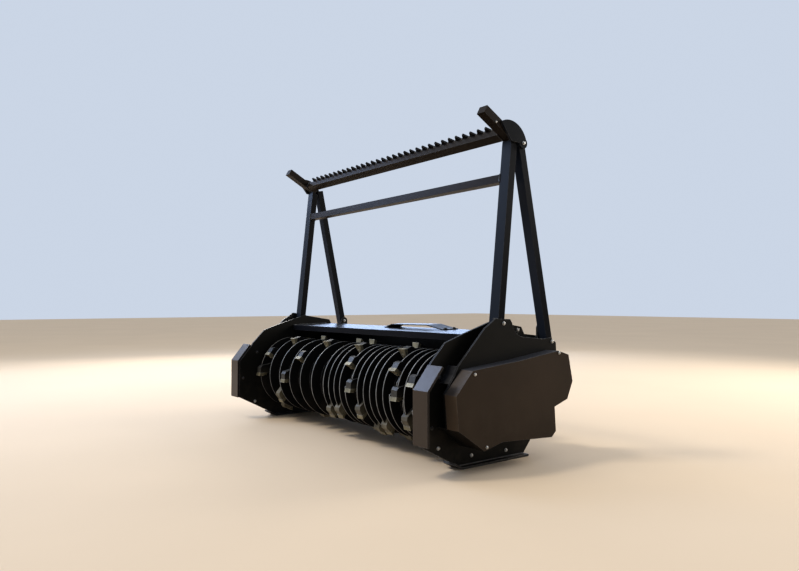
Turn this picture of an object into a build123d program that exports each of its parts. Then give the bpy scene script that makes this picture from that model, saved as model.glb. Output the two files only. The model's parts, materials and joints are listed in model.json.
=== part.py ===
from build123d import *
import os
from math import atan2, cos, degrees, hypot, radians, sin

# Forestry mulcher for a skid steer loader. Millimetres.
# X runs along the drum, -Y is the working front, +Y the loader side, Z is up.
# The model is laid out with the drum axis at Y = 0 and the floor at Z = 0,
# then moved so that its origin is the bottom centre of its bounding box.

# Drum
drum_height = 290.0
tube_radius = 165.0
tube_wall = 16.0
drum_gap = 20.0
disc_thick = 14.0
ring_radius = 226.0
ring_thick = 8.0
middle_ring = -71.0
left_ring_pitch = 129.5
right_ring_pitch = 56.0
shaft_radius = 35.0
shaft_flange_radius = 90.0
shaft_flange_thick = 12.0
shaft_run_gap = 0.05
shaft_end_gap = 3.0

# Teeth: a holder welded to the tube and a tooth bolted to its leading face. Ahead of it the
# rings of the right half have a scallop
holder_width = 46.0
holder_foot = 92.0
holder_back = 46.0
holder_shoulder = 232.0
holder_top = 32.0
holder_radius = 243.0
tooth_width = 54.0
tooth_root_width = 24.0
tooth_depth = 20.0
tooth_root_radius = 190.0
tooth_tip_radius = 250.0
tooth_relief = 5.0
tooth_hook = 5.0
scallop_radius = 62.0
scallop_ahead = 60.0
scallop_web = 13.0
scallop_floor_gap = 4.0
scallop_side_gap = 4.0
# One lane of teeth per line: ring number of its first tooth and of its last one, angle of the
# first above the front of the drum, turn from one to the next. Rings are numbered from the middle
# one, and a fraction is that far on towards the next ring.
tooth_lanes = (
    (0, 9, 167.0, -33.0),
    (4, 16, 266.0, -33.0),
    (9, 16, -52.0, -33.0),
    (14, 16, 20.0, -33.0),
    (0.2, 0.2, -44.0, 0.0),
    (2, 2, -40.0, 0.0),
    (-0.4, -5.4, 106.0, -36.0),
    (-3.5, -5.5, 106.0, -36.0),
    (-0.5, -2.5, 214.0, -36.0),
    (-2.5, -5.5, 268.0, -36.0),
    (-5.94, -5.94, 1.0, 0.0),
    (-5.94, -5.94, 124.0, 0.0),
    (-5.94, -5.94, 250.0, 0.0),
)

# Housing
cut_half = 888.0
plate_thick = 12.0
ear_thick = 12.0
skid_top = 10.0
skid_half_width = 40.0
skid_rear = 330.0
nose_length = 52.0
toe_start = -105.0
guard_front = -365.0
guard_thick = 12.0
guard_low = 138.0
guard_corner = 373.0
guard_top = (-281.0, 475.0)
guard_overlap = 4.0
guard_outside = 21.0
sheet = 10.0
lip_y = 30.0
lip_low = 562.0
hood_front = 595.0
hood_crest = (296.0, 603.0)
rear_wall_y = 300.0
hood_back = 598.0
cover_low_x = -60.0
cover_high_x = 470.0
cover_rise = (22.0, 26.0)
cover_ramps = (50.0, 120.0)
cover_foot = 20.0
cover_front = 190.0
cover_thick = 5.0
wall_low = 150.0
blade_depth = 16.0
blade_low = 158.0
blade_high = 238.0
beam_depth = 120.0
beam_low = 110.0
beam_high = 210.0
beam_wall = 8.0
frame_wall = 10.0
frame_top = 466.0
frame_slot_low = 200.0
frame_slot_high = 392.0
frame_back = 380.0
frame_back_low = 230.0
case_depth = 74.0
case_sheet = 5.0
bearing_radius = 95.0
shaft_hole_radius = 60.0
cap_radius = 88.0
cap_depth = 30.0
cap_chamfer = 12.0

# Loader side
attach_half = 570.0
attach_low = 150.0
attach_fold = 530.0
attach_high = 575.0
attach_thick = 12.0
lip_reach = 46.0
flange_reach = 62.0
slot_inset = 60.0
slot_length = 60.0
slot_width = 26.0
slot_edge = 28.0
rib_insets = (320.0, 30.0)
rib_thick = 12.0
rib_top = 525.0

# Hydraulic motor behind the rear wall, at the belt's upper pulley
motor_y = 400.0
motor_z = 380.0
motor_flange_radius = 78.0
motor_flange_thick = 20.0
motor_radius = 60.0
motor_length = 150.0
motor_end_radius = 48.0
motor_end_length = 36.0
port_block = 58.0
port_radius = 12.0
port_depth = 25.0
port_spacing = 64.0

# Push bar
leg_width = 60.0
leg_depth = 40.0
leg_wall = 4.0
leg_foot_z = 592.0
leg_top_z = 1560.0
leg_face_y = 100.0
leg_face_z = 711.0
leg_lean = 0.11
brace_width = 50.0
brace_foot = (458.0, 560.0)
brace_top = (260.0, 1514.0)
brace_tail = 24.0
brace_head = 20.0
brace_bolt = (452.0, 617.0)
lug_radius = 25.0
lug_low = 540.0
cross_size = 40.0
cross_z = 1342.0
bar_size = 50.0
bar_height = 40.0
bar_wall = 5.0
bar_tilt = 29.0
bar_under = 1424.0
beam_back = 575.0
horn_back = 545.0
horn_tip = 781.0
horn_cap = 6.0
gusset_thick = 12.0
gusset_centre = (167.0, 1493.0)
gusset_radius = 118.0
gusset_lug_radius = 26.0
gusset_low = 19.0
gusset_nose = 13.0
gusset_chin = 164.0
strip_thick = 9.0
strip_base = 30.0
strip_tooth = 26.0
strip_pitch = 53.5
strip_root = 40.0
strip_point = 6.0
strip_count = 32

# Faces that follow from the sizes above
plate_x = cut_half + plate_thick
ear_x = plate_x + leg_width
ear_out = ear_x + ear_thick
cover_x = ear_out + case_depth
drum_half = cut_half - drum_gap
tooth_span = drum_half - tooth_width / 2
attach_y = rear_wall_y + sheet + beam_depth
horn_in = ear_x - bar_size
toe_slope = (guard_low - skid_top) / (toe_start - guard_front - guard_thick)

# Outlines in (y, z)
side_rear = (
    (toe_start, skid_top),
    (skid_rear, skid_top),
    (410, 100),
    (414, 240),
    (500, 268),
    (540, 360),
    (508, 500),
    (502, 556),
    (470, 578),
    (340, 592),
    (318, 628),
    (150, 655),
    (120, 661),
    (-76, 602),
    (-180, 567),
    (-262, 484),
)
case_outline = (
    (-84, 98),
    (28, 124),
    (368, 105),
    (398, 130),
    (390, 247),
    (486, 276),
    (527, 360),
    (497, 492),
    (420, 514),
    (145, 480),
    (-152, 453),
    (-250, 350),
    (-236, 201),
)
ear_outline = case_outline[:8] + (
    (492, 548),
    (452, 574),
    (398, 568),
    (229, 586),
    (204, 601),
    (184, 625),
    (175, 652),
    (162, 669),
    (63, 672),
    (48, 661),
    (-3, 630),
    (-170, 466),
    (-190, 428),
) + case_outline[11:]


def slab(outline, x_low, x_high):
    # an outline in (y, z), as thick as from x_low to x_high
    wire = Polyline(*[(x_low, y, z) for y, z in outline], close=True)
    return extrude(make_face(wire), amount=x_high - x_low, dir=(1, 0, 0))


def rod(radius, x_low, x_high, y=0.0, z=drum_height):
    # a round bar along X
    low = (Align.CENTER, Align.CENTER, Align.MIN)
    return Pos(x_low, y, z) * Rot(0, 90, 0) * Cylinder(radius, x_high - x_low, align=low)


def block(x_low, x_high, y_low, y_high, z_low, z_high):
    size = (x_high - x_low, y_high - y_low, z_high - z_low)
    return Pos(x_low, y_low, z_low) * Box(*size, align=(Align.MIN, Align.MIN, Align.MIN))


def bent(points, thickness):
    # closed outline of a bent sheet; points lie along one face, the other is on their right
    back = []
    for i, (y, z) in enumerate(points):
        ends = []
        for a, b in ((i - 1, i), (i, i + 1)):
            if a >= 0 and b < len(points):
                run = hypot(points[b][0] - points[a][0], points[b][1] - points[a][1])
                ends.append(((points[b][0] - points[a][0]) / run, (points[b][1] - points[a][1]) / run))
        normals = [(dz, -dy) for dy, dz in ends]
        ny = sum(n[0] for n in normals) / len(normals)
        nz = sum(n[1] for n in normals) / len(normals)
        grow = thickness / (ny * ny + nz * nz)
        back.append((y + ny * grow, z + nz * grow))
    return tuple(points) + tuple(reversed(back))


def tube_run(x, start, end, width, depth, wall):
    # a rectangular tube in the plane of constant x, from start to end in (y, z)
    run = (0, end[0] - start[0], end[1] - start[1])
    place = Plane(origin=(x, *start), x_dir=(1, 0, 0), z_dir=run)
    ring = Rectangle(width, depth) - Rectangle(width - 2 * wall, depth - 2 * wall)
    return extrude(place * ring, amount=hypot(run[1], run[2]), dir=place.z_dir)


def bar_point(along, across):
    # (y, z) of a point of the tilted top bar: along its horns, across to its upper face
    tilt = radians(bar_tilt)
    return (-cos(tilt) * along + sin(tilt) * across, sin(tilt) * along + cos(tilt) * across)


def bar_outline(back, front, under, upper):
    return tuple(bar_point(*p) for p in ((back, under), (front, under), (front, upper), (back, upper)))


def under_bar(shape):
    # takes off what would reach above the underside of the tilted top bar
    tilt = radians(bar_tilt)
    far = 2 * leg_top_z
    place = Plane(origin=(0, *bar_point(horn_back, bar_under)), x_dir=(1, 0, 0), z_dir=(0, sin(tilt), cos(tilt)))
    low = (Align.CENTER, Align.CENTER, Align.MIN)
    return shape - place * Box(2 * cover_x, far, far, align=low)


def left_of(shape):
    return mirror(shape, about=Plane.YZ)


def guard_outline():
    points = ((guard_front, guard_low), (guard_front, guard_corner), guard_top)
    return bent(points, guard_thick)


def make_side_plate():
    # its front edge lies along the back of the end guard
    # and a lug on its outer face reaches up beside the foot of the rear brace
    plate = slab(side_rear + guard_outline()[3:], cut_half, plate_x)
    lug_faces = (plate_x, ear_x - brace_width)
    y, z = brace_bolt
    lug = rod(lug_radius, *lug_faces, y, z) + block(*lug_faces, y - lug_radius, y + lug_radius, lug_low, z)
    return plate + lug - rod(shaft_hole_radius, cut_half, plate_x)


def make_ear_plate():
    return slab(ear_outline, ear_x, ear_out)


def make_spacer_frame():
    # the strips that close the top of the front and the bottom between side and outer plate
    inner = offset(make_face(Polyline(*ear_outline, close=True)), amount=-frame_wall)
    ring = slab(ear_outline, plate_x, ear_x)
    core = extrude(Plane.YZ.offset(plate_x) * inner, amount=leg_width)
    far = 2 * attach_y
    above = block(plate_x, ear_x, -far, far, frame_top, 2 * far)
    rear = block(plate_x, ear_x, frame_back, far, frame_back_low, 2 * far)
    front = block(plate_x, ear_x, -far, 0, frame_slot_low, frame_slot_high)
    return ring - core - above - rear - front


def make_belt_cover():
    inner = offset(make_face(Polyline(*case_outline, close=True)), amount=-case_sheet)
    hollow = extrude(Plane.YZ.offset(ear_out) * inner, amount=case_depth - case_sheet)
    return slab(case_outline, ear_out, cover_x) - hollow


def make_bearing_cap():
    cap = rod(cap_radius, ear_out, ear_out + cap_depth)
    return chamfer(cap.edges().filter_by(GeomType.CIRCLE).sort_by(Axis.X)[-1:], length=cap_chamfer)


def make_bearing_housing():
    return rod(bearing_radius, plate_x, ear_x) - rod(shaft_radius + shaft_run_gap, plate_x, ear_x)


def make_guard():
    return slab(guard_outline(), plate_x - guard_overlap, ear_out + guard_outside)


def make_skid():
    run = hypot(1, toe_slope)
    nose = (toe_start - nose_length / run, skid_top + toe_slope * nose_length / run)
    outline = bent((nose, (toe_start, skid_top), (skid_rear, skid_top)), skid_top)
    middle = (cut_half + plate_x) / 2
    return slab(outline, middle - skid_half_width, middle + skid_half_width)


def make_hood():
    points = (
        (lip_y, lip_low),
        (lip_y, hood_front),
        hood_crest,
        (rear_wall_y + sheet, hood_back),
    )
    return slab(bent(points, sheet), -cut_half, cut_half)


def hood_height(y):
    share = (y - lip_y) / (hood_crest[0] - lip_y)
    return hood_front + share * (hood_crest[1] - hood_front)


def make_hose_cover():
    # a low bent plate over the hoses on the hood, sloping down at both ends
    places = (
        (cover_low_x, cover_thick),
        (cover_low_x + cover_foot, cover_thick),
        (cover_low_x + cover_foot + cover_ramps[0], cover_rise[0]),
        (cover_high_x - cover_foot - cover_ramps[1], cover_rise[1]),
        (cover_high_x - cover_foot, cover_thick),
        (cover_high_x, cover_thick),
    )
    wire = Polyline(*[(x, cover_front, z) for x, z in bent(places, cover_thick)], close=True)
    cover = extrude(make_face(wire), amount=hood_crest[0] - cover_front, dir=(0, 1, 0))
    slope = degrees(atan2(hood_crest[1] - hood_front, hood_crest[0] - lip_y))
    return Pos(0, cover_front, hood_height(cover_front)) * Rot(slope, 0, 0) * Pos(0, -cover_front, 0) * cover


def make_rear_wall():
    top = hood_back - 2 * sheet
    return block(-cut_half, cut_half, rear_wall_y, rear_wall_y + sheet, wall_low, top)


def make_counter_blade():
    return block(-cut_half, cut_half, rear_wall_y - blade_depth, rear_wall_y, blade_low, blade_high)


def make_lower_beam():
    front = rear_wall_y + sheet
    outer = block(-cut_half, cut_half, front, attach_y, beam_low, beam_high)
    inner = block(
        -cut_half, cut_half, front + beam_wall, attach_y - beam_wall, beam_low + beam_wall, beam_high - beam_wall
    )
    return outer - inner


def make_attach_plate():
    low = attach_low + attach_thick
    return block(-attach_half, attach_half, attach_y, attach_y + attach_thick, low, attach_fold)


def make_attach_lip():
    # stands on the plate and folds back and down at 45 degrees, a hook for the coupler's top edge
    y = attach_y + attach_thick
    out = lip_reach * sin(radians(45))
    side = attach_thick * sin(radians(45))
    outline = (
        (attach_y, attach_fold),
        (y, attach_fold),
        (y, attach_high - 2 * side),
        (y + out - side, attach_high - out - side),
        (y + out, attach_high - out),
        (y, attach_high),
        (attach_y, attach_high),
    )
    return slab(outline, -attach_half, attach_half)


def make_attach_flange():
    # the plate stands on it, and the coupler's pins come down through its slots
    far = attach_y + attach_thick + flange_reach
    flange = block(-attach_half, attach_half, attach_y, far, attach_low, attach_low + attach_thick)
    for side in (-1, 1):
        middle = (side * (attach_half - slot_inset), far - slot_edge, attach_low)
        flange -= Pos(*middle) * extrude(SlotOverall(slot_length, slot_width), amount=attach_thick)
    return flange


def make_attach_ribs():
    front = rear_wall_y + sheet
    outline = ((front, beam_high), (attach_y, beam_high), (attach_y, rib_top), (front, rib_top))
    ribs = []
    for inset in rib_insets:
        for side in (-1, 1):
            x = side * (attach_half - inset)
            ribs.append(slab(outline, x - rib_thick / 2, x + rib_thick / 2))
    return Compound(ribs)


def make_motor():
    x = cut_half
    motor = rod(motor_flange_radius, x - motor_flange_thick, x, motor_y, motor_z)
    x -= motor_flange_thick
    motor += rod(motor_radius, x - motor_length, x, motor_y, motor_z)
    x -= motor_length
    return motor + rod(motor_end_radius, x - motor_end_length, x, motor_y, motor_z)


def motor_block_x():
    return cut_half - motor_flange_thick - motor_length / 2


def make_motor_ports():
    # the block on the motor's back with a port for each main hose
    x = motor_block_x()
    back = motor_y + motor_radius + port_depth
    half = port_spacing / 2 + 2 * port_radius
    body = block(x - half, x + half, motor_y, back, motor_z - port_block / 2, motor_z + port_block / 2)
    body -= rod(motor_radius, x - half, x + half, motor_y, motor_z)
    for side in (-1, 1):
        place = Plane(origin=(x + side * port_spacing / 2, back - port_depth, motor_z), z_dir=(0, 1, 0))
        body -= extrude(place * Circle(port_radius), amount=port_depth)
    return body


def leg_face(z):
    return leg_face_y + (z - leg_face_z) * leg_lean


def make_front_leg():
    lean = atan2(leg_lean, 1)
    half = leg_depth / 2 / cos(lean)
    start = (leg_face(leg_foot_z) + half, leg_foot_z)
    end = (leg_face(leg_top_z) + half, leg_top_z)
    return under_bar(tube_run(plate_x + leg_width / 2, start, end, leg_width, leg_depth, leg_wall))


def make_rear_brace():
    run = (brace_top[0] - brace_foot[0], brace_top[1] - brace_foot[1])
    length = hypot(*run)
    unit = (run[0] / length, run[1] / length)
    start = (brace_foot[0] - unit[0] * brace_tail, brace_foot[1] - unit[1] * brace_tail)
    end = (brace_top[0] + unit[0] * brace_head, brace_top[1] + unit[1] * brace_head)
    return tube_run(ear_x - brace_width / 2, start, end, brace_width, leg_depth, leg_wall)


def make_cross_tube():
    lean = degrees(atan2(leg_lean, 1))
    ring = Rectangle(cross_size, cross_size) - Rectangle(cross_size - 2 * leg_wall, cross_size - 2 * leg_wall)
    bar = extrude(Plane.YZ.offset(-plate_x) * Rot(0, 0, -lean) * ring, amount=2 * plate_x)
    middle = leg_face(cross_z) + cross_size / 2 * cos(radians(lean))
    return Pos(0, middle, cross_z) * bar


def make_top_beam():
    outer = bar_outline(beam_back, beam_back + bar_size, bar_under, bar_under + bar_height)
    inner = bar_outline(
        beam_back + bar_wall, beam_back + bar_size - bar_wall, bar_under + bar_wall, bar_under + bar_height - bar_wall
    )
    return slab(outer, -horn_in, horn_in) - slab(inner, -horn_in, horn_in)


def make_horn():
    outer = bar_outline(horn_back, horn_tip, bar_under, bar_under + bar_height)
    inner = bar_outline(horn_back, horn_tip - horn_cap, bar_under + bar_wall, bar_under + bar_height - bar_wall)
    return slab(outer, horn_in, ear_x) - slab(inner, horn_in + bar_wall, ear_x - bar_wall)


def make_toothed_strip():
    # lies on the upper face of the top beam, its teeth reach out past the front edge
    half = strip_count * strip_pitch / 2
    points = [(half, strip_base), (-half, strip_base), (-half, 0)]
    for i in range(strip_count):
        x = -half + (i + 0.5) * strip_pitch
        points += [
            (x - strip_root / 2, 0),
            (x - strip_point / 2, -strip_tooth),
            (x + strip_point / 2, -strip_tooth),
            (x + strip_root / 2, 0),
        ]
    points.append((half, 0))
    tilt = radians(bar_tilt)
    edge = bar_point(beam_back + bar_size, bar_under + bar_height)
    place = Plane(origin=(0, *edge), x_dir=(1, 0, 0), z_dir=(0, sin(tilt), cos(tilt)))
    wire = Polyline(*points, close=True)
    return extrude(place * make_face(wire), amount=strip_thick, dir=place.z_dir)


def make_gusset():
    # a round head over the joint of horn, leg and brace, with a lug at the brace's bolt
    y, z = gusset_centre
    far = 2 * gusset_radius
    faces = (ear_x, ear_x + gusset_thick)
    head = rod(gusset_radius, *faces, y, z) - block(*faces, y - far, y + far, z - far, z + gusset_low)
    front = ((y + gusset_nose, z + gusset_low), (y - gusset_chin, z + far), (y - far, z + far), (y - far, z))
    return head - slab(front, *faces) + rod(gusset_lug_radius, *faces, *brace_top)


def make_drum_tube():
    tube = rod(tube_radius, -drum_half, drum_half) - rod(tube_radius - tube_wall, -drum_half, drum_half)
    for side in (-1, 1):
        near = drum_half - disc_thick
        tube += rod(tube_radius - tube_wall, *sorted((side * near, side * drum_half)))
    return tube


def make_shaft_end():
    shaft = rod(shaft_radius, drum_half, ear_x - shaft_end_gap)
    return shaft + rod(shaft_flange_radius, drum_half, drum_half + shaft_flange_thick)


def ring_x(number):
    # the rings stand wide apart on the left of the middle one and close together on its right
    return middle_ring + number * (right_ring_pitch if number > 0 else left_ring_pitch)


def tooth_places():
    for first, last, angle, turn in tooth_lanes:
        way = 1 if last >= first else -1
        for i in range(int(abs(last - first)) + 1):
            x = ring_x(first + way * i)
            if abs(x) <= tooth_span:
                yield x, angle + turn * i


def on_drum(shape, x, angle):
    # a piece drawn at the front of the drum, moved along it and turned up by the angle
    turned = Rot(-angle, 0, 0) * shape
    return Pos(x, 0, drum_height) * turned


def one_holder():
    # drawn at the front of the drum, where the teeth move down, so a holder rises behind its tooth
    profile = (
        (0, holder_foot),
        (-holder_shoulder, holder_back),
        (-holder_radius, holder_top),
        (-holder_radius, 0),
        (0, 0),
    )
    holder = slab(profile, -holder_width / 2, holder_width / 2)
    return holder - rod(tube_radius, -holder_width, holder_width, 0, 0)


def make_holders():
    holder = one_holder()
    return Compound([on_drum(holder, x, angle) for x, angle in tooth_places()])


def make_teeth():
    # wide at its cutting edge and narrow at the root; the edge leads and is backed off
    profile = (
        (-tooth_root_radius, 0),
        (-tooth_tip_radius + tooth_relief, 0),
        (-tooth_tip_radius, -tooth_depth),
        (-tooth_root_radius, -tooth_depth + tooth_hook),
    )
    face = (
        (-tooth_root_width / 2, -tooth_root_radius),
        (-tooth_width / 2, -tooth_tip_radius),
        (tooth_width / 2, -tooth_tip_radius),
        (tooth_root_width / 2, -tooth_root_radius),
    )
    wire = Polyline(*[(x, y, -tooth_depth) for x, y in face], close=True)
    tooth = slab(profile, -tooth_width / 2, tooth_width / 2)
    tooth &= extrude(make_face(wire), amount=tooth_depth, dir=(0, 0, 1))
    return Compound([on_drum(tooth, x, angle) for x, angle in tooth_places()])


def ring_places():
    reach = drum_half - ring_thick / 2
    left = int((reach + middle_ring) / left_ring_pitch)
    right = int((reach - middle_ring) / right_ring_pitch)
    return [ring_x(number) for number in range(-left, right + 1)]


def make_rings():
    # a ring plate runs up to the back of each holder on it and leaves the tooth free
    reach = (tooth_width + ring_thick) / 2 + scallop_side_gap
    wide = reach + ring_thick
    floor = scallop_floor_gap - tooth_root_radius
    tip = -2 * tooth_tip_radius
    notch = one_holder() + block(-wide, wide, tip, floor, -tooth_depth - scallop_floor_gap, 0)
    front = -tooth_depth - scallop_ahead
    centre = tube_radius + scallop_web + scallop_radius
    scallop = notch + block(-wide, wide, tip, floor, front, 0) + rod(scallop_radius, -wide, wide, -centre, front)
    pieces = []
    for x in ring_places():
        ring = rod(ring_radius, x - ring_thick / 2, x + ring_thick / 2)
        ring -= rod(tube_radius, x - ring_thick / 2, x + ring_thick / 2)
        for tooth_x, angle in tooth_places():
            if abs(tooth_x - x) < reach:
                ring -= on_drum(scallop if x >= middle_ring else notch, tooth_x, angle)
        pieces += ring.solids()
    return Compound(pieces)


def build():
    parts = {
        "belt_cover": make_belt_cover(),
        "bearing_cap": left_of(make_bearing_cap()),
        "hood": make_hood(),
        "hose_cover": make_hose_cover(),
        "rear_wall": make_rear_wall(),
        "counter_blade": make_counter_blade(),
        "lower_beam": make_lower_beam(),
        "attach_plate": make_attach_plate(),
        "attach_lip": make_attach_lip(),
        "attach_flange": make_attach_flange(),
        "attach_ribs": make_attach_ribs(),
        "hydraulic_motor": make_motor(),
        "motor_ports": make_motor_ports(),
        "cross_tube": make_cross_tube(),
        "top_beam": make_top_beam(),
        "toothed_strip": make_toothed_strip(),
        "drum_tube": make_drum_tube(),
        "drum_rings": make_rings(),
        "tooth_holders": make_holders(),
        "teeth": make_teeth(),
    }
    pairs = {
        "side_plate": make_side_plate(),
        "outer_plate": make_ear_plate(),
        "spacer_frame": make_spacer_frame(),
        "bearing_housing": make_bearing_housing(),
        "end_guard": make_guard(),
        "skid": make_skid(),
        "front_leg": make_front_leg(),
        "rear_brace": make_rear_brace(),
        "horn": make_horn(),
        "gusset": make_gusset(),
        "shaft_end": make_shaft_end(),
    }
    for name, shape in pairs.items():
        parts[name + "_right"] = shape
        parts[name + "_left"] = left_of(shape)
    return parts


parts = build()
boxes = [shape.bounding_box() for shape in parts.values()]
middle_x = (min(b.min.X for b in boxes) + max(b.max.X for b in boxes)) / 2
middle_y = (min(b.min.Y for b in boxes) + max(b.max.Y for b in boxes)) / 2
floor_z = min(b.min.Z for b in boxes)
print("origin taken from", round(middle_x, 3), round(middle_y, 3), round(floor_z, 3))

os.makedirs("parts", exist_ok=True)
for name, shape in parts.items():
    export_step(Pos(-middle_x, -middle_y, -floor_z) * shape, f"parts/{name}.step")
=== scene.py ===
import json
import math
import random

import bmesh
import bpy
from mathutils import Matrix, Vector


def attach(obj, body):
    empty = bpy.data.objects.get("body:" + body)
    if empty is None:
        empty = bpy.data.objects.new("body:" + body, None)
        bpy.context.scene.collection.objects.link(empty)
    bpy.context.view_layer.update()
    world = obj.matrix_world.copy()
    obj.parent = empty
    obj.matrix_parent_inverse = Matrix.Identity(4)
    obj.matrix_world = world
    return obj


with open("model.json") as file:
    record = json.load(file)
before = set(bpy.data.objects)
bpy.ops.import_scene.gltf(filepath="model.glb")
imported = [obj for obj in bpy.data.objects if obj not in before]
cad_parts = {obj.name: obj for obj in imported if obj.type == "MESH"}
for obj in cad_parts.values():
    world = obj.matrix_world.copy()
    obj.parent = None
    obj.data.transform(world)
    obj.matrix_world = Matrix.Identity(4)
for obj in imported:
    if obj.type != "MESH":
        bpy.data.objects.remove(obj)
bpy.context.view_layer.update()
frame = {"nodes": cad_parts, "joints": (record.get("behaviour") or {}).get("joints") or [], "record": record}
nodes = frame["nodes"]
print("frame loaded,", len(nodes), "nodes")

# Everything is placed from the drum's axis: in millimetres, along the drum from its middle, back
# from the axis and up from the floor
drumAxis = Vector(frame["joints"][0]["pos_m"])
drumHeight = round(drumAxis.z * 1000)


def place(along, back, up):
    return Vector((drumAxis.x + along / 1000, drumAxis.y + back / 1000, up / 1000))


# Building blocks of the finishes
def newFinish(name, metallic, specular=0.5):
    finish = bpy.data.materials.new(name)
    finish.use_nodes = True
    tree = finish.node_tree
    shader = tree.nodes["Principled BSDF"]
    shader.inputs["Metallic"].default_value = metallic
    shader.inputs["Specular IOR Level"].default_value = specular
    return finish, tree, shader


def noiseOver(tree, scale, detail, roughness=0.5, stretch=(1, 1, 1)):
    # noise in the object's own metres, so that one finish runs on over all pieces
    coords = tree.nodes.new("ShaderNodeTexCoord")
    mapping = tree.nodes.new("ShaderNodeMapping")
    mapping.inputs["Scale"].default_value = stretch
    noise = tree.nodes.new("ShaderNodeTexNoise")
    noise.inputs["Scale"].default_value = scale
    noise.inputs["Detail"].default_value = detail
    noise.inputs["Roughness"].default_value = roughness
    tree.links.new(coords.outputs["Object"], mapping.inputs["Vector"])
    tree.links.new(mapping.outputs["Vector"], noise.inputs["Vector"])
    return noise.outputs["Fac"]


def ramp(tree, source, stops):
    # each stop is a value of the source and the grey or the colour that it turns into
    node = tree.nodes.new("ShaderNodeValToRGB")
    elements = node.color_ramp.elements
    while len(elements) < len(stops):
        elements.new(0.5)
    for element, (position, value) in zip(elements, stops):
        element.position = position
        element.color = (*value, 1) if isinstance(value, tuple) else (value, value, value, 1)
    tree.links.new(source, node.inputs["Fac"])
    return node.outputs["Color"]


def rampBetween(tree, source, span, first, last):
    return ramp(tree, source, ((span[0], first), (span[1], last)))


def spreadOver(tree, source, span, reach):
    # carries the values of the span over to those of the reach
    node = tree.nodes.new("ShaderNodeMapRange")
    for socket, value in zip(("From Min", "From Max", "To Min", "To Max"), (*span, *reach)):
        node.inputs[socket].default_value = value
    tree.links.new(source, node.inputs["Value"])
    return node.outputs["Result"]


def setOrLink(tree, socket, value):
    if isinstance(value, bpy.types.NodeSocket):
        tree.links.new(value, socket)
    elif isinstance(value, tuple):
        socket.default_value = (*value, 1)
    else:
        socket.default_value = value


def blendColours(tree, share, first, second):
    node = tree.nodes.new("ShaderNodeMix")
    node.data_type = "RGBA"
    for socket, value in ((node.inputs[0], share), (node.inputs[6], first), (node.inputs[7], second)):
        setOrLink(tree, socket, value)
    return node.outputs[2]


def mathOf(tree, operation, first, second=0.0):
    node = tree.nodes.new("ShaderNodeMath")
    node.operation = operation
    for socket, value in zip(node.inputs, (first, second)):
        setOrLink(tree, socket, value)
    return node.outputs[0]


def times(tree, first, second):
    return mathOf(tree, "MULTIPLY", first, second)


def bumpFrom(tree, shader, source, look):
    bump = tree.nodes.new("ShaderNodeBump")
    bump.inputs["Strength"].default_value = look["bumpStrength"]
    bump.inputs["Distance"].default_value = look["bumpDepth"]
    tree.links.new(source, bump.inputs["Height"])
    tree.links.new(bump.outputs["Normal"], shader.inputs["Normal"])


# Where a layer lies: a value of its source and the share of the layer there
layerStops = {
    "edge": ((0.88, 1.0), (0.985, 0.0)),
    "rim": ((0.3, 1.0), (0.75, 0.0)),
    "front": ((0.55, 0.0), (0.85, 1.0)),
    "top": ((0.58, 0.0), (0.8, 1.0)),
    "chips": ((0.36, 0.15), (0.6, 1.0)),
    "rubs": ((0.3, 0.35), (0.6, 1.0)),
    "stains": ((0.5, 0.0), (0.66, 1.0)),
}


def edgeShare(tree, width, samples=4):
    # 1 along the sharp edges, 0 on the faces: a rounded normal leaves the true one there
    rounded = tree.nodes.new("ShaderNodeBevel")
    rounded.samples = samples
    rounded.inputs["Radius"].default_value = width
    plain = tree.nodes.new("ShaderNodeNewGeometry")
    dot = tree.nodes.new("ShaderNodeVectorMath")
    dot.operation = "DOT_PRODUCT"
    tree.links.new(rounded.outputs["Normal"], dot.inputs[0])
    tree.links.new(plain.outputs["Normal"], dot.inputs[1])
    return ramp(tree, dot.outputs["Value"], layerStops["edge"])


def partAlong(tree, source, axis):
    split = tree.nodes.new("ShaderNodeSeparateXYZ")
    tree.links.new(source, split.inputs[0])
    return split.outputs[axis]


def facePart(tree, axis):
    # how far a face looks along an axis, from -1 to 1
    plain = tree.nodes.new("ShaderNodeNewGeometry")
    return partAlong(tree, plain.outputs["Normal"], axis)


def lowShare(tree, top):
    # 1 at the floor, 0 from the given height up, in metres
    coords = tree.nodes.new("ShaderNodeTexCoord")
    return spreadOver(tree, partAlong(tree, coords.outputs["Object"], "Z"), (0, top), (1, 0))


def rimShare(tree):
    # 1 on faces that look away from the drum's axis or around it, 0 on the flat sides of rings
    return ramp(tree, mathOf(tree, "ABSOLUTE", facePart(tree, "X")), layerStops["rim"])


def frontShare(tree):
    # 1 on faces that look ahead of the machine, 0 on its sides, its top and its back
    return ramp(tree, times(tree, facePart(tree, "Y"), -1.0), layerStops["front"])


def upShare(tree):
    # 0 on faces that look straight down, 0.5 on upright ones, 1 on those that look straight up
    return spreadOver(tree, facePart(tree, "Z"), (-1, 1), (0, 1))


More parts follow.
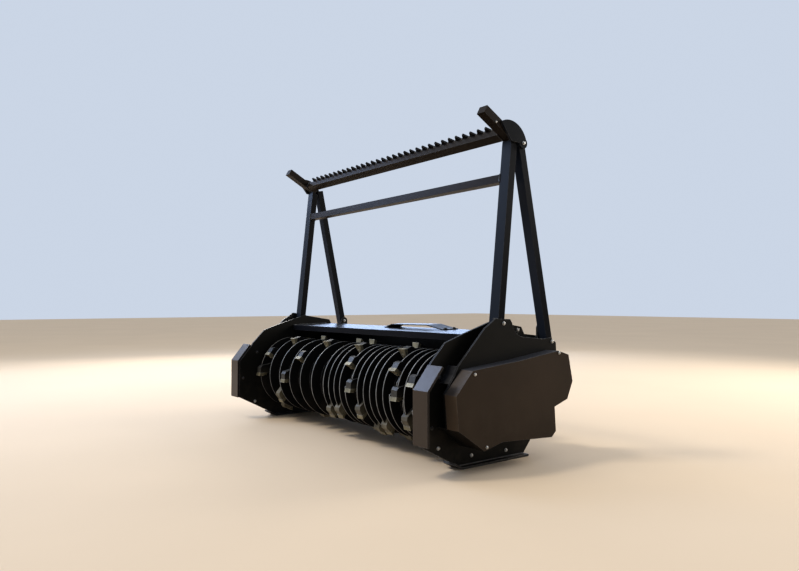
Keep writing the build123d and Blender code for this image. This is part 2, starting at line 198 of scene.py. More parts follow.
# Black paint. dark and pale are the tints of its patches, gloss its least and its most roughness,
# and shine how strongly it reflects. wear is how far its edges are rubbed, dust how much has
# settled low down, top how much dust and painted sky sheen lies on what looks up, and front how
# much painted light falls on what looks ahead.
paintLook = {
    "plate": {
        "dark": (0.0042, 0.0042, 0.0048),
        "pale": (0.0085, 0.0082, 0.0086),
        "gloss": (0.28, 0.44),
        "shine": 0.34, "wear": 0.7, "dust": 0.5, "top": 0.35,
    },
    "ear": {
        "dark": (0.006, 0.0058, 0.0048),
        "pale": (0.0112, 0.0105, 0.0088),
        "gloss": (0.3, 0.46),
        "shine": 0.12, "wear": 0.8, "dust": 0.5, "top": 0.4,
    },
    # the black paint tinted brown as painted ground light, with strong painted front light, and dust with a
    # painted sky sheen on top
    "cover": {
        "dark": (0.023, 0.0148, 0.0088),
        "pale": (0.035, 0.0232, 0.0142),
        "gloss": (0.32, 0.48),
        "shine": 0.18, "wear": 0.6, "dust": 0.5, "top": 0.9, "front": 0.85,
    },
    # the black paint tinted brown-grey as painted warm light, with some painted front light
    "guard": {
        "dark": (0.0125, 0.0098, 0.0086),
        "pale": (0.0215, 0.017, 0.015),
        "gloss": (0.26, 0.38),
        "shine": 0.2, "wear": 0.7, "dust": 0.5, "top": 0.45, "front": 0.35,
    },
    # the black paint tinted blue as a painted sky sheen
    "hood": {
        "dark": (0.0052, 0.0056, 0.0078),
        "pale": (0.0095, 0.0102, 0.0138),
        "gloss": (0.24, 0.38),
        "shine": 0.08, "wear": 0.6, "dust": 0.3, "top": 0.12,
    },
    # the black paint tinted blue, and bluer on what looks ahead, as a painted sky reflection
    "leg": {
        "dark": (0.0036, 0.0043, 0.0058),
        "pale": (0.0068, 0.008, 0.0104),
        "gloss": (0.26, 0.4),
        "shine": 0.07, "wear": 0.6, "dust": 0.3, "top": 0.15, "front": 0.6,
        "frontLightTone": (0.0255, 0.031, 0.0425),
    },
    # the black paint tinted brown as painted ground light from below, so its underside is left undarkened
    "bar": {
        "dark": (0.0115, 0.0082, 0.0058),
        "pale": (0.0215, 0.0155, 0.0112),
        "gloss": (0.3, 0.46),
        "shine": 0.08, "wear": 0.6, "dust": 0.3, "top": 0.1, "underShadeShare": 0.0,
    },
    "low": {
        "dark": (0.008, 0.007, 0.0062),
        "pale": (0.018, 0.015, 0.012),
        "gloss": (0.4, 0.6),
        "shine": 0.3, "wear": 1.0, "dust": 1.0,
    },
    "drum": {
        "dark": (0.004, 0.004, 0.0042),
        "pale": (0.009, 0.0085, 0.008),
        "gloss": (0.36, 0.55),
        "shine": 0.2, "wear": 1.0, "dust": 0.7,
    },
    # the holders' straw tone, laid thick from low down, is dust and painted ground light on the lowest teeth
    "holder": {
        "dark": (0.004, 0.004, 0.0042),
        "pale": (0.009, 0.0085, 0.008),
        "gloss": (0.36, 0.55),
        "shine": 0.2, "wear": 1.0, "dust": 1.0, "dustFrom": 0.2,
        "dustAndBounceTone": (0.3, 0.26, 0.17),
    },
    "motor": {
        "dark": (0.008, 0.008, 0.009),
        "pale": (0.014, 0.014, 0.015),
        "gloss": (0.3, 0.5),
        "shine": 0.45, "wear": 0.4, "dust": 0.3,
    },
}
# What a paint has unless its own row says otherwise; widths, heights and depths in metres
paintBasics = {
    "patchSpan": (0.3, 0.7),
    "edgeTone": (0.2, 0.195, 0.19),
    "edgeWidth": 0.0024,
    "rimTone": (0.21, 0.205, 0.195),
    # tone of the dust low down; on the holders it is also painted ground light
    "dustAndBounceTone": (0.06, 0.048, 0.034),
    "dustFrom": 0.46,
    "dustFull": 0.72,
    "dustTop": 0.34,
    "dustDulls": 0.35,
    # paler blue-grey on what looks up: dust and a painted sky sheen
    "topDustAndSheenTone": (0.036, 0.038, 0.046),
    # painted warm ground light on what looks ahead
    "frontLightTone": (0.105, 0.078, 0.055),
    # painted shade on what looks down: its tone, the span of facing over which it fades in, and its share
    "underShadeTone": (0.004, 0.004, 0.004),
    "underShadeSpan": (0.3, 0.44),
    "underShadeShare": 0.8,
    "peelShare": 0.12,
    "bumpStrength": 0.22,
    "bumpDepth": 0.0016,
}
# Scale, detail and roughness of the noise in each layer
paintNoise = {
    "patches": (2.2, 5, 0.6),
    "specks": (9, 8, 0.7),
    "chips": (60, 4, 0.6),
    "rubs": (25, 6, 0.65),
    "gloss": (34, 6, 0.65),
    "peel": (260, 3, 0.5),
    "waves": (5, 2, 0.4),
}


def paintFinish(name, kind, rims=0.0):
    # rims is how bright the work has rubbed the rims of the drum's pieces
    look = {**paintBasics, **paintLook[kind]}
    finish, tree, shader = newFinish(name, 0.0, look["shine"])

    def noise(layer):
        return noiseOver(tree, *paintNoise[layer])

    paint = rampBetween(tree, noise("patches"), look["patchSpan"], look["dark"], look["pale"])
    if "top" in look:
        # what looks up turns a paler blue-grey, partly fine dust and partly a painted sky sheen, and what
        # looks down is darkened towards black as painted shade
        up = upShare(tree)
        sheenAndDustOnTop = times(tree, ramp(tree, up, layerStops["top"]), look["top"])
        paint = blendColours(tree, sheenAndDustOnTop, paint, look["topDustAndSheenTone"])
        shadeBelow = rampBetween(tree, up, look["underShadeSpan"], look["underShadeShare"], 0.0)
        paint = blendColours(tree, shadeBelow, paint, look["underShadeTone"])
    if "front" in look:
        # what looks ahead is lightened with painted light: a warm ground bounce by default, a blue sky
        # reflection on the legs
        ahead = times(tree, frontShare(tree), look["front"])
        paint = blendColours(tree, ahead, paint, look["frontLightTone"])
    # specks of dust low down; on the holders the straw tone is dust and painted ground light
    specks = rampBetween(tree, noise("specks"), (look["dustFrom"], look["dustFull"]), 0.0, 1.0)
    dustAndBounceShare = times(tree, times(tree, specks, lowShare(tree, look["dustTop"])), look["dust"])
    paint = blendColours(tree, dustAndBounceShare, paint, look["dustAndBounceTone"])
    if rims:
        rubbed = ramp(tree, noise("rubs"), layerStops["rubs"])
        rimmed = times(tree, times(tree, rimShare(tree), rubbed), rims)
        paint = blendColours(tree, rimmed, paint, look["rimTone"])
    chips = ramp(tree, noise("chips"), layerStops["chips"])
    edges = times(tree, times(tree, edgeShare(tree, look["edgeWidth"]), chips), look["wear"])
    tree.links.new(blendColours(tree, edges, paint, look["edgeTone"]), shader.inputs["Base Color"])
    gloss = spreadOver(tree, noise("gloss"), (0, 1), look["gloss"])
    dulled = mathOf(tree, "ADD", gloss, times(tree, dustAndBounceShare, look["dustDulls"]))
    tree.links.new(dulled, shader.inputs["Roughness"])
    peel = times(tree, noise("peel"), look["peelShare"])
    bumpFrom(tree, shader, mathOf(tree, "ADD", peel, noise("waves")), look)
    return finish


# Bare steel: its noises as for paint, its stains and its bright edges, in metres
steelLook = {
    "patches": (14, 7, 0.65),
    "scratches": (120, 5, 0.6),
    "stains": (30, 9, 0.7),
    "patchSpan": (0.32, 0.68),
    "stainTone": (0.03, 0.028, 0.026),
    "edgeTone": (0.5, 0.49, 0.47),
    "edgeWidth": 0.0018,
    "edgeShare": 0.7,
    "bumpStrength": 0.25,
    "bumpDepth": 0.0006,
}


def steelFinish(name, dark, pale, roughness, metallic, grain=(1, 1, 1), dirt=0.6):
    look = steelLook
    finish, tree, shader = newFinish(name, metallic)
    steel = rampBetween(tree, noiseOver(tree, *look["patches"]), look["patchSpan"], dark, pale)
    stains = ramp(tree, noiseOver(tree, *look["stains"]), layerStops["stains"])
    steel = blendColours(tree, times(tree, stains, dirt), steel, look["stainTone"])
    edges = times(tree, edgeShare(tree, look["edgeWidth"]), look["edgeShare"])
    tree.links.new(blendColours(tree, edges, steel, look["edgeTone"]), shader.inputs["Base Color"])
    scratches = noiseOver(tree, *look["scratches"], grain)
    tree.links.new(spreadOver(tree, scratches, (0, 1), roughness), shader.inputs["Roughness"])
    bumpFrom(tree, shader, scratches, look)
    return finish


finishes = {
    "platePaint": paintFinish("satin_black_paint", "plate"),
    "coverGroundLitPaint": paintFinish("cover_paint_ground_lit", "cover"),
    "hoodSkySheenPaint": paintFinish("hood_paint_sky_sheen", "hood"),
    "barGroundLitPaint": paintFinish("push_bar_paint_ground_lit", "bar"),
    "lowPaint": paintFinish("skid_rubbed_paint", "low"),
    "earPaint": paintFinish("ear_black_paint", "ear"),
    "guardWarmLitPaint": paintFinish("guard_paint_warm_lit", "guard"),
    "legSkySheenPaint": paintFinish("leg_paint_sky_sheen", "leg"),
    "drumPaint": paintFinish("drum_black_paint", "drum"),
    "ringPaint": paintFinish("ring_black_paint", "drum", rims=0.9),
    "holderDustAndLightPaint": paintFinish("holder_paint_dust_and_ground_light", "holder", rims=0.14),
    "castPaint": paintFinish("motor_casting_paint", "motor"),
    "toothSteel": steelFinish("tooth_steel", (0.125, 0.11, 0.07), (0.26, 0.23, 0.148), (0.4, 0.65), 0.35),
    "turnedSteel": steelFinish(
        "turned_steel", (0.3, 0.3, 0.3), (0.42, 0.42, 0.42), (0.2, 0.42), 0.95, grain=(12, 1, 1)
    ),
    "zincBolts": steelFinish(
        "zinc_plated_bolts", (0.34, 0.34, 0.33), (0.5, 0.5, 0.48), (0.3, 0.5), 0.8, dirt=0.3
    ),
    "blackBolts": paintFinish("painted_bolts", "motor"),
}
slotFinish = {
    "worn_paint": "lowPaint",
    "drum_paint": "drumPaint",
    "tooth_steel": "toothSteel",
    "bare_steel": "turnedSteel",
    "motor_casting": "castPaint",
    "black_paint": "platePaint",
}
# Imported pieces whose paint has another shade than that of their slot: the brown of the cover, the guards
# and the bar is painted ground light, the blue of the hood and the legs a painted sky sheen
shadedPieces = {
    "coverGroundLitPaint": ("belt_cover",),
    "guardWarmLitPaint": ("end_guard_left", "end_guard_right"),
    "hoodSkySheenPaint": ("hood", "hose_cover"),
    "barGroundLitPaint": ("top_beam", "cross_tube", "horn_left", "horn_right"),
    "earPaint": ("outer_plate_right", "side_plate_left", "side_plate_right"),
    "legSkySheenPaint": (
        "front_leg_left", "front_leg_right",
        "rear_brace_left", "rear_brace_right",
        "gusset_left", "gusset_right",
    ),
    "ringPaint": ("drum_rings",),
    "holderDustAndLightPaint": ("tooth_holders",),
}
print("finishes made,", len(finishes))


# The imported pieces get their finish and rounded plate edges: sizes in metres, angle in degrees
edgeRounding = {"joinWithin": 0.00002, "width": 0.0011, "segments": 2, "sharpAngle": 32}


def dressPackedPieces():
    finishOf = {row["node"]: slotFinish[row["material_slot"]] for row in frame["record"]["subparts"]}
    for finish, names in shadedPieces.items():
        finishOf.update(dict.fromkeys(names, finish))
    for name, obj in nodes.items():
        obj.data.materials.clear()
        obj.data.materials.append(finishes[finishOf[name]])
        joined = obj.modifiers.new("joinFaces", "WELD")
        joined.merge_threshold = edgeRounding["joinWithin"]
        rounded = obj.modifiers.new("plateEdges", "BEVEL")
        rounded.width = edgeRounding["width"]
        rounded.segments = edgeRounding["segments"]
        rounded.limit_method = "ANGLE"
        rounded.angle_limit = math.radians(edgeRounding["sharpAngle"])
        rounded.harden_normals = True
        rounded.use_clamp_overlap = True


dressPackedPieces()
print("edges rounded")


# Building blocks of the pieces
def meshIslands(node):
    # the solids of one node, each as the list of its corner points
    mesh = node.data
    parent = list(range(len(mesh.vertices)))

    def root(i):
        while parent[i] != i:
            parent[i] = parent[parent[i]]
            i = parent[i]
        return i

    seen = {}
    for vertex in mesh.vertices:
        key = tuple(round(v, 5) for v in vertex.co)  # corners that share a spot, to 0.01 mm, are one
        parent[root(vertex.index)] = root(seen.setdefault(key, vertex.index))
    for polygon in mesh.polygons:
        for corner in polygon.vertices[1:]:
            parent[root(corner)] = root(polygon.vertices[0])
    groups = {}
    for vertex in mesh.vertices:
        groups.setdefault(root(vertex.index), []).append(vertex.co.copy())
    return [groups[key] for key in sorted(groups)]


smoothBelow = 35  # faces that meet at less than this many degrees are shaded as one


def addPiece(name, bm, finish, body):
    mesh = bpy.data.meshes.new(name)
    bmesh.ops.recalc_face_normals(bm, faces=bm.faces)
    bm.to_mesh(mesh)
    bm.free()
    mesh.materials.append(finishes[finish])
    obj = bpy.data.objects.new(name, mesh)
    bpy.context.scene.collection.objects.link(obj)
    mesh.shade_smooth()
    mesh.set_sharp_from_angle(angle=math.radians(smoothBelow))
    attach(obj, body)


def facing(centre, outward, turn):
    # a frame whose Z looks outward from the surface at the centre
    tilt = Vector(outward).to_track_quat("Z", "Y").to_matrix().to_4x4()
    return Matrix.Translation(centre) @ tilt @ Matrix.Rotation(turn, 4, "Z")


def stackRings(bm, frameOf, rings):
    # rings of points one above the other, skinned from the first to the last and closed at both
    rows = []
    for ring in rings:
        rows.append([bm.verts.new(frameOf @ Vector(point)) for point in ring])
    for low, high in zip(rows, rows[1:]):
        count = len(low)
        for i in range(count):
            bm.faces.new((low[i], low[(i + 1) % count], high[(i + 1) % count], high[i]))
    bm.faces.new(rows[0][::-1])
    bm.faces.new(rows[-1])


def roundRing(radius, height, count=24):
    angles = [math.tau * i / count for i in range(count)]
    return [(radius * math.cos(angle), radius * math.sin(angle), height) for angle in angles]


def hexRing(radius, height, drop=0.0):
    # six corners and the middles of six flats; the corners may lie lower, as on a chamfered head
    ring = []
    for i in range(12):
        corner = i % 2 == 0
        reach = radius if corner else radius * math.cos(math.pi / 6)
        angle = math.pi * i / 6
        ring.append((reach * math.cos(angle), reach * math.sin(angle), height - (drop if corner else 0)))
    return ring


def drawnIn(ring, height, shares):
    # the ring at another height, its points drawn in to the middle by each share in turn
    drawn = []
    for i, point in enumerate(ring):
        share = shares[i % len(shares)]
        drawn.append((point[0] * share, point[1] * share, height))
    return drawn


# Hexagon bolts and nuts: the sink and the washer's thickness in metres, the rest as shares of
# that thickness, of the width across the flats or of the head's height
boltLook = {
    "sink": 0.0004,
    "washerThick": 0.002,
    "washerWall": 0.75,
    "washerChamfer": 0.3,
    "headHeight": 0.4,
    "headWall": 0.92,
    "cornerDrop": 0.14,
    "headTop": (0.75, 0.86),
    "studReach": 0.35,
    "studRadius": 0.3,
    "studWall": 0.8,
    "studTip": 0.24,
    "studCorners": 16,
}


def addBolt(bm, centre, outward, across, washer, turn, stud=False):
    # a head or nut on its washer, seated on the surface at the centre; sizes in metres
    look = boltLook
    spot = facing(centre, outward, turn)
    thick = look["washerThick"]
    stackRings(bm, spot, [
        roundRing(washer / 2, -look["sink"]),
        roundRing(washer / 2, thick * look["washerWall"]),
        roundRing(washer / 2 - thick * look["washerChamfer"], thick),
    ])
    radius = across / 2 / math.cos(math.pi / 6)
    height = across * look["headHeight"]
    stackRings(bm, spot, [
        hexRing(radius, thick - look["sink"]),
        hexRing(radius, thick + height * look["headWall"], height * look["cornerDrop"]),
        drawnIn(hexRing(radius, 0), thick + height, look["headTop"]),
    ])
    if stud:
        reach = across * look["studReach"]
        corners = look["studCorners"]
        stackRings(bm, spot, [
            roundRing(across * look["studRadius"], thick + height - look["sink"], corners),
            roundRing(across * look["studRadius"], thick + height + reach * look["studWall"], corners),
            roundRing(across * look["studTip"], thick + height + reach, corners),
        ])


# Bolts through the plates: the face they stand on, how far back, how far up, the way they look
# along the drum (-1 inwards, with a stud's end) and their share of the full size
plateBolts = {
    "across": 13,
    "washer": 19,
    "cover": (
        (1046, -140, 436, 1, 0.8),
        (1046, -70, 114, 1, 0.8),
        (1046, 424, 503, 1, 0.8),
    ),
    "bright": (
        (900, -224, 105, 1, 1),
        (900, -23, 47, 1, 1),
        (972, 118, 650, 1, 1),
        (900, 452, 617, -1, 1),
        (972, 260, 1514, 1, 1),
        (972, 462, 554, 1, 1),
        (900, 292, 612, 1, 1),
        (900, 204, 40, 1, 1),
        (960, 84.4, 1590.1, 1, 0.6),
        (888, -247, 105, -1, 1),
    ),
    "painted": (
        (900, -216, 416, 1, 1),
        (900, -261, 198, 1, 1),
        (888, -234, 423, -1, 1),
        (888, -330, 261, -1, 1),
        (900, 116, 650, -1, 1),
        (960, 8, 613, -1, 1),
    ),
}


def makePlateBolts():
    chance = random.Random(5)

    def addSet(name, kind, sign, finish):
        bolts = bmesh.new()
        for along, back, up, way, share in plateBolts[kind]:
            across = plateBolts["across"] / 1000 * share
            washer = plateBolts["washer"] / 1000 * share
            spot = place(sign * along, back, up)
            addBolt(bolts, spot, (sign * way, 0, 0), across, washer, chance.uniform(0, 1), stud=way < 0)
        addPiece(name, bolts, finish, "machine")

    addSet("cover_bolts", "cover", 1, "zincBolts")
    for side, sign in (("right", 1), ("left", -1)):
        addSet("bright_bolts_" + side, "bright", sign, "zincBolts")
        addSet("painted_bolts_" + side, "painted", sign, "blackBolts")


# Bolts in a circle: its centre, its radius and the bolts' own sizes
flangeBolts = {
    "bearingCap": {
        "centre": (-1002, 0, drumHeight), "way": -1,
        "count": 6, "circle": 58, "across": 13, "washer": 22,
    },
    "motorFlange": {
        "centre": (868, 400, 380), "way": -1,
        "count": 4, "circle": 69, "across": 11, "washer": 17,
    },
    "motorEnd": {
        "centre": (718, 400, 380), "way": -1,
        "count": 6, "circle": 54, "across": 8, "washer": 11,
    },
}


def makeFlangeBolts():
    for name, look in flangeBolts.items():
        bolts = bmesh.new()
        along, back, up = look["centre"]
        across, washer = look["across"] / 1000, look["washer"] / 1000
        for i in range(look["count"]):
            angle = math.tau * (i + 0.5) / look["count"]
            reach = look["circle"] * math.cos(angle)
            rise = look["circle"] * math.sin(angle)
            spot = place(along, back + reach, up + rise)
            addBolt(bolts, spot, (look["way"], 0, 0), across, washer, angle)
        addPiece(name + "_bolts", bolts, "blackBolts", "machine")


# Bolts that hold the feet of the hose cover down on the hood, which slopes from start to end
hoseCoverBolts = {
    "across": 13,
    "washer": 24,
    "alongs": (-50, 460),
    "backs": (212, 276),
    "slopeStart": (30, 595),
    "slopeEnd": (296, 603),
    "sheet": 5,
}


def makeHoseCoverBolts():
    look = hoseCoverBolts
    (frontBack, frontUp), (rearBack, rearUp) = look["slopeStart"], look["slopeEnd"]
    rise = (rearUp - frontUp) / (rearBack - frontBack)
    across, washer = look["across"] / 1000, look["washer"] / 1000
    bolts = bmesh.new()
    for along in look["alongs"]:
        for back in look["backs"]:
            up = frontUp + rise * (back - frontBack) + look["sheet"]
            # the place along the hood also turns the head, so that the two ends don't match
            addBolt(bolts, place(along, back, up), (0, -rise, 1), across, washer, along)
    addPiece("hose_cover_bolts", bolts, "blackBolts", "machine")


# Weld beads, a thin ripple of steel in the corner of two plates: radii, step and drift in metres
weldLook = {
    "radius": 0.0042,
    "ringRadius": 0.0036,
    "holderRadius": 0.005,
    "step": 0.0042,
    "ripple": 0.16,
    "unevenness": 0.08,
    "drift": 0.0003,
    "endShare": 0.45,
    "sides": 7,
}
weldChance = random.Random(11)


def beadSteps(points, closed):
    # the bead's path, cut into steps of about one length
    steps = []
    ends = points[1:] + points[:1] if closed else points[1:]
    for start, end in zip(points, ends):
        count = max(1, round((end - start).length / weldLook["step"]))
        steps += [start.lerp(end, i / count) for i in range(count)]
    if not closed:
        steps.append(points[-1])
    return steps


def addBead(bm, points, closed=False, radius=weldLook["radius"]):
    # one ripple to each pair of rings; the ends are drawn in unless the bead closes on itself
    sides = weldLook["sides"]
    steps = beadSteps(points, closed)
    last = len(steps) - 1
    rings = []
    for i, middle in enumerate(steps):
        before = steps[i - 1] if i or closed else middle
        after = steps[(i + 1) % len(steps)] if i < last or closed else middle
        run = (after - before).normalized()
        # a ring's side follows that of the ring before, so that the bead doesn't twist
        side = (side - run * side.dot(run) if rings else run.orthogonal()).normalized()
        up = run.cross(side)
        ripple = weldLook["ripple"] * (1 if i % 2 else -1)
        size = radius * (1 + ripple + weldChance.uniform(-weldLook["unevenness"], weldLook["unevenness"]))
        if not closed and i in (0, last):
            size *= weldLook["endShare"]
        centre = middle + side * weldChance.uniform(-weldLook["drift"], weldLook["drift"])
        angles = [math.tau * k / sides for k in range(sides)]
        rings.append([
            bm.verts.new(centre + side * size * math.cos(angle) + up * size * math.sin(angle))
            for angle in angles
        ])
    pairs = list(zip(rings, rings[1:] + rings[:1] if closed else rings[1:]))
    for number, (low, high) in enumerate(pairs):
        shift = 0
        if closed and number == len(pairs) - 1:
            # the last ring meets the first at the corner that lies nearest
            shift = min(range(sides), key=lambda k: (high[k].co - low[0].co).length)
        for k in range(sides):
            beside = (k + 1) % sides
            bm.faces.new((low[k], low[beside], high[(beside + shift) % sides], high[(k + shift) % sides]))
    if not closed:
        bm.faces.new(rings[0][::-1])
        bm.faces.new(rings[-1])


# The top bar leans: its corners are given along the horns and across to the upper face. The
# toothed strip on it is stitched down with short beads along its back edge.
barLook = {"tilt": 29, "back": 575, "front": 625, "under": 1424, "upper": 1464, "hornInside": 910}
stitchLook = {"count": 12, "first": -810, "pitch": 147, "length": 60, "back": 595}


def barCorner(along, reach, rise):
    tilt = math.radians(barLook["tilt"])
    back = -math.cos(tilt) * reach + math.sin(tilt) * rise
    up = math.sin(tilt) * reach + math.cos(tilt) * rise
    return place(along, back, up)


def hornCorners(sign):
    # where the top bar ends on the inner face of the horn
    inside = sign * barLook["hornInside"]
    corners = (("back", "under"), ("front", "under"), ("front", "upper"), ("back", "upper"))
    return [barCorner(inside, barLook[reach], barLook[rise]) for reach, rise in corners]


crossTube = {"along": 900, "half": 20, "up": 1342, "back": 189.2, "lean": 6.3}


def crossTubeCorners(sign):
    # where the cross tube ends on the inner face of the front leg
    lean = math.radians(crossTube["lean"])
    half = crossTube["half"]
    corners = []
    for across, rise in ((-1, -1), (1, -1), (1, 1), (-1, 1)):
        back = crossTube["back"] + half * (across * math.cos(lean) + rise * math.sin(lean))
        up = crossTube["up"] + half * (rise * math.cos(lean) - across * math.sin(lean))
        corners.append(place(sign * crossTube["along"], back, up))
    return corners


# Straight beads that both sides of the machine have: start and end as along, back, up
sideBeads = (
    ((888, 34, 595), (888, 292, 603)),
    ((888, 40, 585), (888, 292, 592)),
    ((888, 300, 160), (888, 300, 575)),
    ((888, -100, 10), (888, 326, 10)),
    ((900, -100, 10), (900, 326, 10)),
    ((900, -353, 150), (900, -353, 368)),
    ((972, -353, 150), (972, -353, 368)),
    ((900, 98, 594), (960, 98, 594)),
    ((960, 60, 672), (960, 93, 672)),
    ((900, 440, 545), (900, 420, 580)),
    ((902, 427, 556), (902, 427, 583)),
    ((902, 477, 556), (902, 477, 566)),
)
# Beads across the machine: how far out both ends are, back, up
crossBeads = (
    (884, 300, 168),
    (884, 310, 112),
    (884, 310, 208),
    (566, 430, 209),
    (566, 430, 152),
    (566, 442, 164),
    (566, 442, 530),
)
ribBeads = {"alongs": (250, 540), "half": 6, "front": 310, "rear": 430, "low": 214, "high": 522}


def makeSideWelds():
    for side, sign in (("right", 1), ("left", -1)):
        beads = bmesh.new()
        for start, end in sideBeads:
            addBead(beads, [place(sign * start[0], *start[1:]), place(sign * end[0], *end[1:])])
        addBead(beads, crossTubeCorners(sign), closed=True)
        addBead(beads, hornCorners(sign), closed=True)
        for along in ribBeads["alongs"]:
            for edge in (-1, 1):
                face = sign * along + edge * ribBeads["half"]
                for back in (ribBeads["front"], ribBeads["rear"]):
                    addBead(beads, [place(face, back, ribBeads["low"]), place(face, back, ribBeads["high"])])
        addPiece("frame_welds_" + side, beads, "platePaint", "machine")


def makeCrossWelds():
    beads = bmesh.new()
    for reach, back, up in crossBeads:
        addBead(beads, [place(-reach, back, up), place(reach, back, up)])
    for i in range(stitchLook["count"]):
        start = stitchLook["first"] + i * stitchLook["pitch"]
        ends = (start, start + stitchLook["length"])
        addBead(beads, [barCorner(along, stitchLook["back"], barLook["upper"]) for along in ends])
    addPiece("cross_welds", beads, "platePaint", "machine")


# The drum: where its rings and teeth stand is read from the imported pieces. Angles are in degrees
# and go up from the drum's front. toothLag is the angle from a tooth's middle to its holder.
drumLook = {
    "tube": 165,
    "ringHalf": 4,
    "ringCorners": 48,
    "holderHalf": 23,
    "beadAbove": 0.5,
    "beadAngles": (1, 6, 11, 16, 20),
    "leadHalf": 22,
    "leadAngle": -0.5,
    "toothLag": 2.6,
}


def spotOnDrum(along, radius, angle, forward=0.0):
    # a point of the drum, moved forward in the way that the teeth go
    turn = math.radians(angle)
    back = -math.cos(turn) * radius - math.sin(turn) * forward
    up = math.sin(turn) * radius - math.cos(turn) * forward
    return place(along, back, drumHeight + up)


def centreOf(points):
    return sum(points, Vector()) / len(points)


def toothSpots():
    # how far along each tooth stands, and the angle at which it meets its holder
    for points in meshIslands(nodes["teeth"]):
        alongs = [point.x for point in points]
        middle = centreOf(points)
        along = ((min(alongs) + max(alongs)) / 2 - drumAxis.x) * 1000
        angle = math.degrees(math.atan2(middle.z - drumAxis.z, drumAxis.y - middle.y))
        yield along, angle + drumLook["toothLag"]


def ringSpots():
    centres = [centreOf(points) for points in meshIslands(nodes["drum_rings"])]
    return sorted({round((centre.x - drumAxis.x) * 1000) for centre in centres})


def ringPath(along, radius, count):
    path = []
    for i in range(count):
        angle = math.tau * i / count
        path.append(place(along, radius * math.cos(angle), drumHeight + radius * math.sin(angle)))
    return path


def makeRingWelds():
    beads = bmesh.new()
    for along in ringSpots():
        for edge in (-1, 1):
            path = ringPath(along + edge * drumLook["ringHalf"], drumLook["tube"], drumLook["ringCorners"])
            addBead(beads, path, closed=True, radius=weldLook["ringRadius"])
    addPiece("ring_welds", beads, "drumPaint", "drum")


def makeHolderWelds():
    # a bead along each side of a holder's foot and one across its front
    beads = bmesh.new()
    foot = drumLook["tube"] + drumLook["beadAbove"]
    for along, angle in sorted(toothSpots()):
        for edge in (-1, 1):
            side = along + edge * drumLook["holderHalf"]
            path = [spotOnDrum(side, foot, angle + turn) for turn in drumLook["beadAngles"]]
            addBead(beads, path, radius=weldLook["holderRadius"])
        ends = (-drumLook["leadHalf"], drumLook["leadHalf"])
        lead = [spotOnDrum(along + end, foot, angle + drumLook["leadAngle"]) for end in ends]
        addBead(beads, lead, radius=weldLook["holderRadius"])
    addPiece("holder_welds", beads, "drumPaint", "drum")


# Socket bolt in the leading face of each tooth: how far out and forward it stands, how far that
# face leans, and its own form in metres
toothBolts = {
    "radiusOnDrum": 214,
    "forward": 18,
    "faceLean": 4.8,
    "corners": 20,
    "sink": 0.001,
    "radius": 0.0095,
    "wallTop": 0.0045,
    "crownRadius": 0.0085,
    "crownTop": 0.0055,
    "socketShare": 0.6,
    "socketFloor": 0.0015,
}


def makeToothBolts():
    look = toothBolts
    lean = math.radians(look["faceLean"])
    crown = roundRing(look["crownRadius"], look["crownTop"], look["corners"])
    rings = [
        roundRing(look["radius"], -look["sink"], look["corners"]),
        roundRing(look["radius"], look["wallTop"], look["corners"]),
        crown,
        drawnIn(crown, look["crownTop"], (look["socketShare"],)),
        drawnIn(crown, look["socketFloor"], (look["socketShare"],)),
    ]
    bolts = bmesh.new()
    chance = random.Random(21)
    for along, angle in sorted(toothSpots()):
        turn = math.radians(angle)
        ahead = Vector((0, -math.sin(turn), -math.cos(turn)))
        outward = Vector((0, -math.cos(turn), math.sin(turn)))
        spot = spotOnDrum(along, look["radiusOnDrum"], angle, look["forward"])
        face = facing(spot, ahead * math.cos(lean) - outward * math.sin(lean), chance.uniform(0, 1))
        stackRings(bolts, face, rings)
    addPiece("tooth_bolts", bolts, "toothSteel", "drum")


makePlateBolts()
makeFlangeBolts()
makeHoseCoverBolts()
print("bolts made")
makeSideWelds()
makeCrossWelds()
makeRingWelds()
makeHolderWelds()
makeToothBolts()
print("welds and tooth bolts made")


# Stage: floor, soft light and camera, in metres
floorLook = {
    "size": 60,
    "colour": (0.53, 0.422, 0.305),
    "paler": 1.05,
    "noise": (0.7, 5),
    "patchSpan": (0.3, 0.7),
    "shine": 0.3,
    "roughness": 0.85,
}


def makeFloor():
    look = floorLook
    mesh = bpy.data.meshes.new("studio_floor")
    half = look["size"] / 2
    corners = [(-half, -half, 0), (half, -half, 0), (half, half, 0), (-half, half, 0)]
    mesh.from_pydata(corners, [], [(0, 1, 2, 3)])
    floor = bpy.data.objects.new("studio_floor", mesh)
    bpy.context.scene.collection.objects.link(floor)
    finish, tree, shader = newFinish("studio_floor", 0.0, look["shine"])
    paler = tuple(min(1, c * look["paler"]) for c in look["colour"])
    tone = rampBetween(tree, noiseOver(tree, *look["noise"]), look["patchSpan"], look["colour"], paler)
    tree.links.new(tone, shader.inputs["Base Color"])
    shader.inputs["Roughness"].default_value = look["roughness"]
    mesh.materials.append(finish)


skyLook = {"colour": (0.72, 0.8, 0.93), "strength": 0.72}


def makeSky():
    world = bpy.data.worlds.new("soft_sky")
    bpy.context.scene.world = world
    world.use_nodes = True
    back = world.node_tree.nodes["Background"]
    back.inputs["Color"].default_value = (*skyLook["colour"], 1)
    back.inputs["Strength"].default_value = skyLook["strength"]


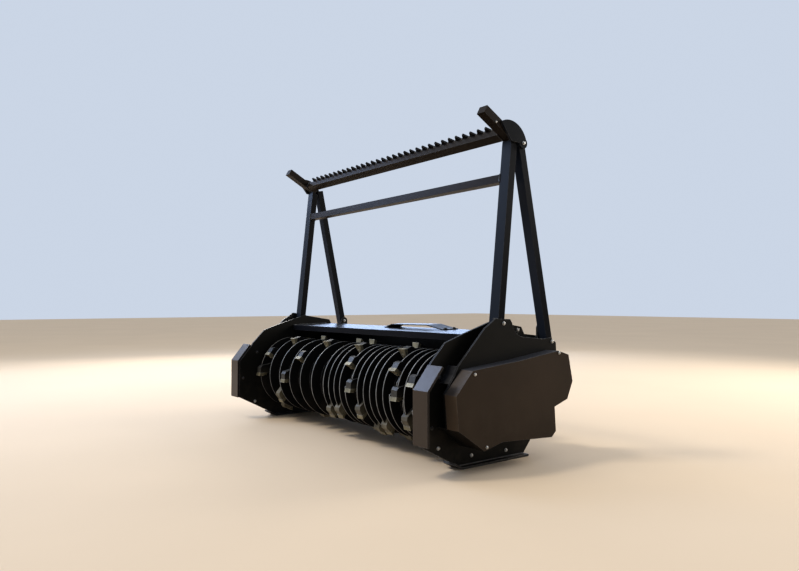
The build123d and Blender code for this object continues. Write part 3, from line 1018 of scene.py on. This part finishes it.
# name, place, what it faces, width, height, watts, colour
softLights = (
    ("key_soft", (-2.6, -4.2, 6.6), (0, 0, 0.4), 3.0, 3.0, 160, (1.0, 0.95, 0.86)),
    ("left_soft", (-4.5, -2.4, 3.9), (0, 0, 0.6), 2.6, 2.6, 175, (0.5, 0.66, 1.0)),
    ("right_soft", (5.5, 3.2, 1.9), (0.6, 0, 0.5), 2.5, 1.6, 35, (1.0, 0.82, 0.6)),
    ("back_soft", (-5.0, 4.2, 1.7), (0, 0, 0.6), 4.0, 1.6, 70, (0.5, 0.66, 1.0)),
    ("rear_soft", (1.5, 5.5, 3.2), (0, 0, 0.5), 3.0, 2.0, 200, (1.0, 0.97, 0.92)),
    ("far_left_soft", (-5.6, 1.0, 2.4), (-0.8, 0, 0.6), 2.4, 2.0, 80, (1.0, 0.96, 0.9)),
)
sunLook = {"place": (-2.6, -4.2, 6.6), "strength": 0.95, "spread": 9, "colour": (1.0, 0.94, 0.84)}


def hangLight(name, lamp, spot, target):
    obj = bpy.data.objects.new(name, lamp)
    obj.location = spot
    obj.rotation_euler = (Vector(target) - Vector(spot)).to_track_quat("-Z", "Y").to_euler()
    bpy.context.scene.collection.objects.link(obj)


def makeLights():
    for name, spot, target, width, height, watts, colour in softLights:
        lamp = bpy.data.lights.new(name, "AREA")
        lamp.shape = "RECTANGLE"
        lamp.size = width
        lamp.size_y = height
        lamp.energy = watts
        lamp.color = colour
        hangLight(name, lamp, spot, target)
    sun = bpy.data.lights.new("soft_sun", "SUN")
    sun.energy = sunLook["strength"]
    sun.angle = math.radians(sunLook["spread"])
    sun.color = sunLook["colour"]
    hangLight("soft_sun", sun, sunLook["place"], (0, 0, 0))


# The camera of the photograph: place in millimetres as for the pieces, angles in degrees, image
# in pixels, film width in millimetres and farthest sight in metres
cameraLook = {
    "place": (3104.6, -2146.4, 746.6),
    "turn": 52.25,
    "tilt": 1.353,
    "focalPixels": 660,
    "frameWidth": 799,
    "lowerAxis": 1.5,
    "filmWidth": 36,
    "farthest": 200,
}


def makeCamera():
    look = cameraLook
    data = bpy.data.cameras.new("photo_camera")
    data.sensor_width = look["filmWidth"]
    data.lens = look["filmWidth"] * look["focalPixels"] / look["frameWidth"]
    data.shift_y = look["lowerAxis"] / look["frameWidth"]
    data.clip_end = look["farthest"]
    camera = bpy.data.objects.new("photo_camera", data)
    camera.location = place(*look["place"])
    camera.rotation_euler = (math.radians(90 + look["tilt"]), 0, math.radians(look["turn"]))
    bpy.context.scene.collection.objects.link(camera)
    bpy.context.scene.camera = camera


makeFloor()
makeSky()
makeLights()
makeCamera()
bpy.context.scene.view_settings.view_transform = "Standard"
bpy.context.scene.view_settings.look = "Medium High Contrast"
print("stage set")
